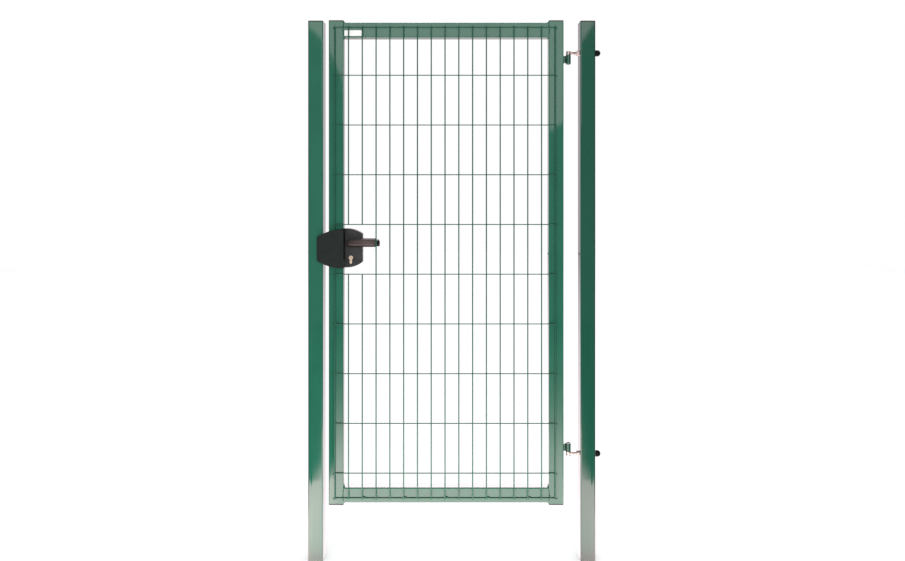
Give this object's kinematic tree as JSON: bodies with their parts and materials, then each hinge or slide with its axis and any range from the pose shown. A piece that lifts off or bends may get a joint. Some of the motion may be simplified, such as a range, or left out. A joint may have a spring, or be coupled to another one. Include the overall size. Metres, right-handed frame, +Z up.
{
  "type": "welded mesh pedestrian gate",
  "caption": "Green swing gate for a garden or works fence: a tube frame filled with welded wire mesh, hung on pin hinges between square posts, with a lever lock.",
  "frame": {"origin": "centre of the hinge post's foot, on the ground", "axes": "+X from the latch post to the hinge post, -Y the side that the leaf opens to, +Z up"},
  "size_m": [1.179, 0.1064, 2.172],
  "materials": {
    "green_coat": "moss green powder coat, semi-gloss",
    "mesh_coat": "moss green plastic-coated wire",
    "cap_plastic": "black moulded plastic",
    "zinc_plate": "bright zinc plate",
    "cover_plastic": "black glass-filled plastic, finely grained",
    "case_plastic": "black glass-filled plastic, finely grained",
    "lever_plastic": "brown-black moulded plastic, satin",
    "cylinder_brass": "satin brass",
    "label_film": "blank white label",
    "bolt_steel": "plain steel"
  },
  "bodies": {
    "posts": {"latch_post": "green_coat", "hinge_post": "green_coat", "latch_post_cap": "cap_plastic", "hinge_post_cap": "cap_plastic", "upper_hinge_rod": "zinc_plate", "lower_hinge_rod": "zinc_plate", "upper_washer": "zinc_plate", "lower_washer": "zinc_plate", "upper_inner_nut": "zinc_plate", "lower_inner_nut": "zinc_plate", "upper_outer_nut": "zinc_plate", "lower_outer_nut": "zinc_plate", "upper_dome_cap": "cap_plastic", "lower_dome_cap": "cap_plastic"},
    "leaf": {"latch_stile": "green_coat", "hinge_stile": "green_coat", "top_rail": "green_coat", "bottom_rail": "green_coat", "latch_stile_top_cap": "cap_plastic", "latch_stile_bottom_cap": "cap_plastic", "hinge_stile_top_cap": "cap_plastic", "hinge_stile_bottom_cap": "cap_plastic", "mesh_panel": "mesh_coat", "upper_hinge_socket": "green_coat", "lower_hinge_socket": "green_coat", "upper_socket_plate": "green_coat", "lower_socket_plate": "green_coat", "lock_cover": "cover_plastic", "lock_case": "case_plastic", "lock_back_case": "case_plastic", "lock_cylinder": "cylinder_brass", "latch_bolt": "bolt_steel", "dead_bolt": "bolt_steel"},
    "lever": {"lever_spindle": "bolt_steel", "front_lever": "lever_plastic", "back_lever": "lever_plastic"}
  },
  "joints": [
    {"name": "leaf_swing", "type": "hinge", "parent": "posts", "child": "leaf", "pos_m": [-0.074, 0, 1], "axis": [0, 0, 1], "range_deg": [0, 100]},
    {"name": "lever_turn", "type": "hinge", "parent": "leaf", "child": "lever", "pos_m": [-0.956, 0, 1.274], "axis": [0, 1, 0], "range_deg": [0, 40], "stiffness_Nm_per_rad": 1.5, "springref_deg": -28.65}
  ]
}
